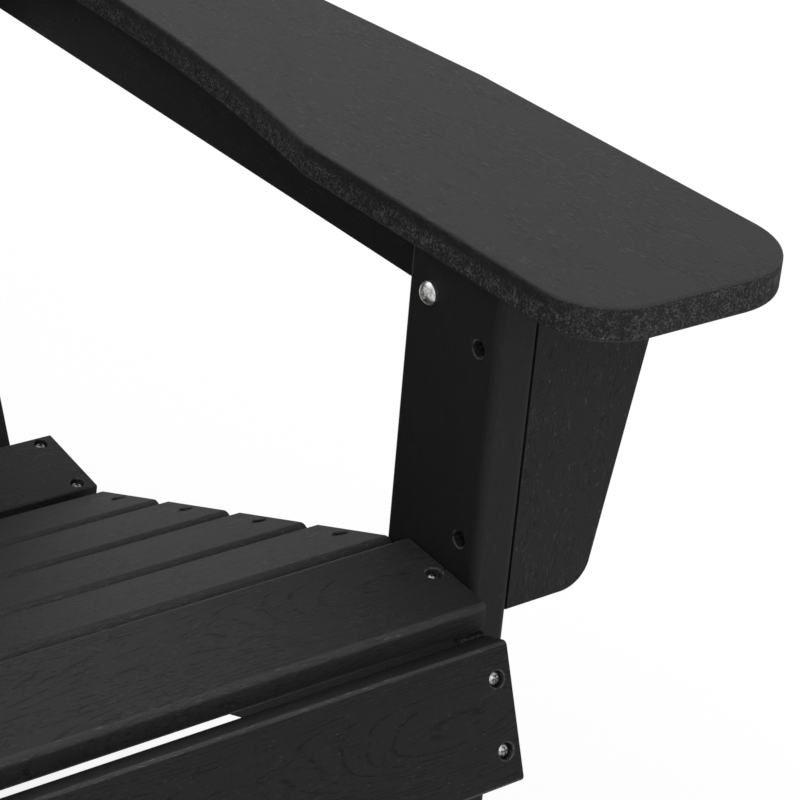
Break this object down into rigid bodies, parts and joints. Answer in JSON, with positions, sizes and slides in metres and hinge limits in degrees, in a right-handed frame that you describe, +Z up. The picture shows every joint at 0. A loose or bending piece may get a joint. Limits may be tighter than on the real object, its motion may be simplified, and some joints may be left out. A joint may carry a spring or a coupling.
{
  "type": "adirondack chair",
  "caption": "Fixed outdoor armchair of moulded plastic boards: sloping slatted seat on two stringers, reclined fan back, flat paddle arms on front legs, batten rails and corbels.",
  "frame": {"origin": "on the ground, in the middle of the chair's outline in plan", "axes": "+X to the sitter's left, -Y the way the chair faces, +Z up"},
  "size_m": [0.8184, 0.9192, 0.9415],
  "materials": {
    "boards": "charcoal-black moulded plastic board with an embossed wood grain and a rough sawn edge",
    "screws": "stainless steel, pan heads with a cross recess",
    "bolts": "polished stainless steel, button heads with a hexagon socket"
  },
  "bodies": {
    "root": {"apron_screws": "screws", "arm_bolt_nuts": "bolts", "arm_bolt_washers": "bolts", "arm_bolts": "bolts", "arm_screws": "screws", "back_rail_barrel_nuts": "bolts", "back_rail_bolts": "bolts", "back_slat_1": "boards", "back_slat_2": "boards", "back_slat_3": "boards", "back_slat_4": "boards", "back_slat_5": "boards", "corbel_screws": "screws", "front_apron": "boards", "front_seat_slat": "boards", "front_slat_screws": "screws", "left_arm": "boards", "left_arm_batten": "boards", "left_corbel": "boards", "left_front_leg": "boards", "left_stringer": "boards", "leg_bolt_nuts": "bolts", "leg_bolt_washers": "bolts", "leg_bolts": "bolts", "lower_back_rail": "boards", "lower_back_screws": "screws", "lower_rail_screws": "screws", "rear_seat_slat": "boards", "rear_slat_screws": "screws", "right_arm": "boards", "right_arm_batten": "boards", "right_corbel": "boards", "right_front_leg": "boards", "right_stringer": "boards", "seat_slat_1": "boards", "seat_slat_2": "boards", "seat_slat_3": "boards", "seat_slat_4": "boards", "seat_slat_screws": "screws", "upper_back_rail": "boards", "upper_back_screws": "screws"}
  },
  "joints": []
}
